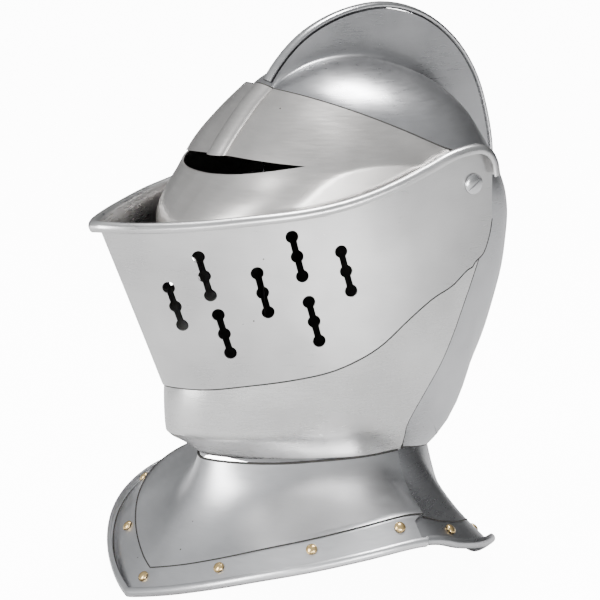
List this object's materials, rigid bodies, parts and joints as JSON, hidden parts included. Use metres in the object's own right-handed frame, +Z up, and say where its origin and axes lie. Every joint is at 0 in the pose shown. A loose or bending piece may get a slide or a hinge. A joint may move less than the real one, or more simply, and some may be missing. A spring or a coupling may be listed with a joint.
{
  "type": "close helmet",
  "caption": "Steel close helmet with a high comb, a ridged visor with a sight slit, a prow-shaped pierced ventail, a bevor and a flared two-part neck collar; all face plates turn on one pivot axis.",
  "frame": {"origin": "on the floor, under the middle of the helmet's bounding box, as it stands on its collar", "axes": "+Z up through the comb, -Y the way the face looks, +X the wearer's left"},
  "size_m": [0.3002, 0.337, 0.4025],
  "materials": {
    "steel": "satin polished",
    "brass": "polished"
  },
  "bodies": {
    "skull_group": {"skull": "steel", "comb_rim": "steel", "rear_gorget": "steel", "rear_rivet_1": "brass", "rear_rivet_2": "brass", "rear_rivet_3": "brass", "rear_rivet_4": "brass", "rear_rivet_5": "brass", "pivot_screw_left": "steel", "pivot_screw_right": "steel", "pivot_nut_left": "steel", "pivot_nut_right": "steel"},
    "bevor_group": {"bevor": "steel", "front_gorget": "steel", "front_rivet_1": "brass", "front_rivet_2": "brass", "front_rivet_3": "brass", "front_rivet_4": "brass", "front_rivet_5": "brass", "front_rivet_6": "brass", "front_rivet_7": "brass"},
    "ventail_plate": {"ventail": "steel"},
    "visor_plate": {"visor": "steel"}
  },
  "joints": [
    {"name": "bevor_hinge", "type": "hinge", "parent": "skull_group", "child": "bevor_group", "pos_m": [0, 0.07852, 0.28683], "axis": [-1, 0, 0], "range_deg": [0, 40]},
    {"name": "ventail_hinge", "type": "hinge", "parent": "bevor_group", "child": "ventail_plate", "pos_m": [0, 0.07852, 0.28683], "axis": [-1, 0, 0], "range_deg": [0, 20]},
    {"name": "visor_hinge", "type": "hinge", "parent": "ventail_plate", "child": "visor_plate", "pos_m": [0, 0.07852, 0.28683], "axis": [-1, 0, 0], "range_deg": [0, 30]}
  ]
}
